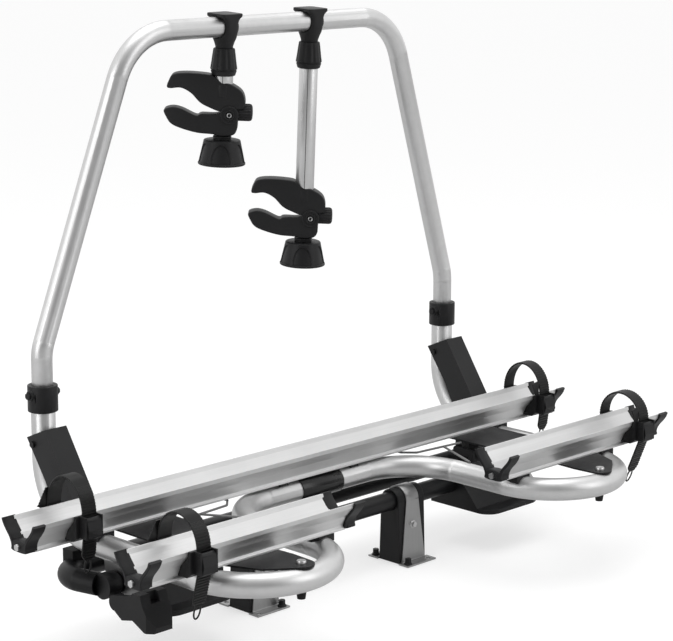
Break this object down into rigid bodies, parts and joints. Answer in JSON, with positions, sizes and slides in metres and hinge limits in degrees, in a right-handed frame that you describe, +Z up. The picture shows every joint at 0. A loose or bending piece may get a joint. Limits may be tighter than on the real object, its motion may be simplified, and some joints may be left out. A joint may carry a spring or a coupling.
{
  "type": "motorhome bike rack",
  "caption": "Tilting platform bicycle rack with wheel rails, wheel straps and an upright hoop whose two arms clamp the bicycle frames.",
  "frame": {"origin": "level with the bottoms of the two feet, below the pivot tube's axis and midway between the feet, at the centre of the four outer foot holes", "axes": "+X runs across the rack along the pivot tube and the wheel rails, +Y points from the front rails to the hoop, +Z is up"},
  "size_m": [1.304, 0.5905, 0.9971],
  "materials": {
    "silver_alloy": "satin anodised",
    "silver_steel": "satin",
    "black_coat": "satin powder coat",
    "black_plastic": "fine-grained matt",
    "black_rubber": "matt"
  },
  "bodies": {
    "base": {"pivot_tube": "black_coat", "tube_end_caps": "black_plastic", "rear_tube": "black_coat", "foot_blocks": "black_plastic", "foot_straps": "silver_steel", "foot_bolts": "black_coat", "clamp_housings": "black_coat", "housing_bolts": "black_coat", "rest_pads": "black_rubber"},
    "platform": {"release_cable": "black_plastic", "platform_tube": "silver_alloy", "grip_sleeve": "black_plastic", "rear_rail": "silver_alloy", "front_rail_left": "silver_alloy", "front_rail_right": "silver_alloy", "rail_end_caps": "black_plastic", "rail_cap_bolts": "silver_steel", "rail_saddles": "black_plastic", "saddle_bolts": "silver_steel", "loop_plates": "black_coat", "rubber_studs": "black_rubber", "rear_plates": "black_coat", "corner_braces": "black_plastic", "upright_bolts": "black_coat", "hoop_collars": "black_plastic", "hinge_cheeks": "silver_alloy", "pedal_bracket": "black_coat"},
    "pedal": {"foot_pedal": "black_plastic"},
    "latch": {"latch_hooks": "black_coat"},
    "hoop": {"hoop": "silver_alloy"},
    "liner_1": {"clamp_liner_1": "black_rubber"},
    "clamp_1": {"bar_clamp_1": "black_plastic"},
    "arm_1": {"twist_sleeve_1": "black_plastic", "holder_arm_1": "silver_alloy", "upper_jaw_1": "black_plastic", "jaw_bolt_1": "silver_steel"},
    "jaw_1": {"lower_jaw_1": "black_plastic"},
    "knob_1": {"jaw_knob_1": "black_plastic"},
    "liner_2": {"clamp_liner_2": "black_rubber"},
    "clamp_2": {"bar_clamp_2": "black_plastic"},
    "arm_2": {"twist_sleeve_2": "black_plastic", "holder_arm_2": "silver_alloy", "upper_jaw_2": "black_plastic", "jaw_bolt_2": "silver_steel"},
    "jaw_2": {"lower_jaw_2": "black_plastic"},
    "knob_2": {"jaw_knob_2": "black_plastic"},
    "strap_1": {"strap_band_1": "black_plastic", "strap_buckle_1": "black_plastic"},
    "lever_1": {"buckle_lever_1": "black_plastic"},
    "strap_2": {"strap_band_2": "black_plastic", "strap_buckle_2": "black_plastic"},
    "lever_2": {"buckle_lever_2": "black_plastic"},
    "strap_3": {"strap_band_3": "black_plastic", "strap_buckle_3": "black_plastic"},
    "lever_3": {"buckle_lever_3": "black_plastic"},
    "strap_4": {"strap_band_4": "black_plastic", "strap_buckle_4": "black_plastic"},
    "lever_4": {"buckle_lever_4": "black_plastic"}
  },
  "joints": [
    {"name": "platform_tilt", "type": "hinge", "parent": "base", "child": "platform", "pos_m": [0, 0, 0.115], "axis": [1, 0, 0], "range_deg": [0, 24]},
    {"name": "pedal_press", "type": "hinge", "parent": "platform", "child": "pedal", "pos_m": [-0.5, -0.04, 0.099], "axis": [1, 0, 0], "range_deg": [0, 12], "stiffness_Nm_per_rad": 2, "springref_deg": -11.46},
    {"name": "latch_release", "type": "hinge", "parent": "platform", "child": "latch", "pos_m": [0, 0.008, 0.173], "axis": [1, 0, 0], "range_deg": [-15, 0]},
    {"name": "hoop_height", "type": "slide", "parent": "platform", "child": "hoop", "axis": [0, 0, 1], "range_m": [0, 0.035]},
    {"name": "holder_slide_1", "type": "slide", "parent": "hoop", "child": "liner_1", "axis": [1, 0, 0], "range_m": [-0.07, 0.02]},
    {"name": "holder_swing_1", "type": "hinge", "parent": "liner_1", "child": "clamp_1", "pos_m": [-0.1, 0.156, 0.973], "axis": [1, 0, 0], "range_deg": [-60, 60]},
    {"name": "arm_turn_1", "type": "hinge", "parent": "clamp_1", "child": "arm_1", "pos_m": [-0.1, 0.156, 0.973], "axis": [0, -0.0473, 0.9989], "range_deg": [-180, 180]},
    {"name": "jaw_close_1", "type": "hinge", "parent": "arm_1", "child": "jaw_1", "pos_m": [-0.09151, 0.15457, 0.82377], "axis": [0.7071, 0.7063, 0.0334], "range_deg": [-14, 11]},
    {"name": "knob_turn_1", "type": "hinge", "parent": "jaw_1", "child": "knob_1", "pos_m": [-0.1, 0.16617, 0.75824], "axis": [0, -0.0473, 0.9989], "range_deg": [-190, 150]},
    {"name": "holder_slide_2", "type": "slide", "parent": "hoop", "child": "liner_2", "axis": [1, 0, 0], "range_m": [-0.02, 0.07]},
    {"name": "holder_swing_2", "type": "hinge", "parent": "liner_2", "child": "clamp_2", "pos_m": [0.103, 0.156, 0.973], "axis": [1, 0, 0], "range_deg": [-60, 60]},
    {"name": "arm_turn_2", "type": "hinge", "parent": "clamp_2", "child": "arm_2", "pos_m": [0.103, 0.156, 0.973], "axis": [0, -0.0473, 0.9989], "range_deg": [-180, 180]},
    {"name": "jaw_close_2", "type": "hinge", "parent": "arm_2", "child": "jaw_2", "pos_m": [0.11149, 0.16417, 0.62099], "axis": [0.7071, 0.7063, 0.0334], "range_deg": [-14, 11]},
    {"name": "knob_turn_2", "type": "hinge", "parent": "jaw_2", "child": "knob_2", "pos_m": [0.103, 0.17576, 0.55547], "axis": [0, -0.0473, 0.9989], "range_deg": [-190, 150]},
    {"name": "strap_slide_1", "type": "slide", "parent": "platform", "child": "strap_1", "axis": [1, 0, 0], "range_m": [-0.04, 0.01]},
    {"name": "lever_open_1", "type": "hinge", "parent": "strap_1", "child": "lever_1", "pos_m": [-0.542, -0.012, 0.233], "axis": [-1, 0, 0], "range_deg": [0, 70], "stiffness_Nm_per_rad": 0.02, "springref_deg": -17.19},
    {"name": "strap_slide_2", "type": "slide", "parent": "platform", "child": "strap_2", "axis": [1, 0, 0], "range_m": [-0.035, 0.01]},
    {"name": "lever_open_2", "type": "hinge", "parent": "strap_2", "child": "lever_2", "pos_m": [-0.531, -0.27, 0.233], "axis": [-1, 0, 0], "range_deg": [0, 70], "stiffness_Nm_per_rad": 0.02, "springref_deg": -17.19},
    {"name": "strap_slide_3", "type": "slide", "parent": "platform", "child": "strap_3", "axis": [1, 0, 0], "range_m": [-0.025, 0.018]},
    {"name": "lever_open_3", "type": "hinge", "parent": "strap_3", "child": "lever_3", "pos_m": [0.58, -0.012, 0.233], "axis": [-1, 0, 0], "range_deg": [0, 70], "stiffness_Nm_per_rad": 0.02, "springref_deg": -17.19},
    {"name": "strap_slide_4", "type": "slide", "parent": "platform", "child": "strap_4", "axis": [1, 0, 0], "range_m": [-0.035, 0.028]},
    {"name": "lever_open_4", "type": "hinge", "parent": "strap_4", "child": "lever_4", "pos_m": [0.553, -0.27, 0.233], "axis": [-1, 0, 0], "range_deg": [0, 70], "stiffness_Nm_per_rad": 0.02, "springref_deg": -17.19}
  ],
  "couplings": [
    {"joint": "latch_release", "follows": "pedal_press", "ratio": -1.2},
    {"joint": "knob_turn_1", "follows": "jaw_close_1", "ratio": 13},
    {"joint": "knob_turn_2", "follows": "jaw_close_2", "ratio": 13}
  ]
}
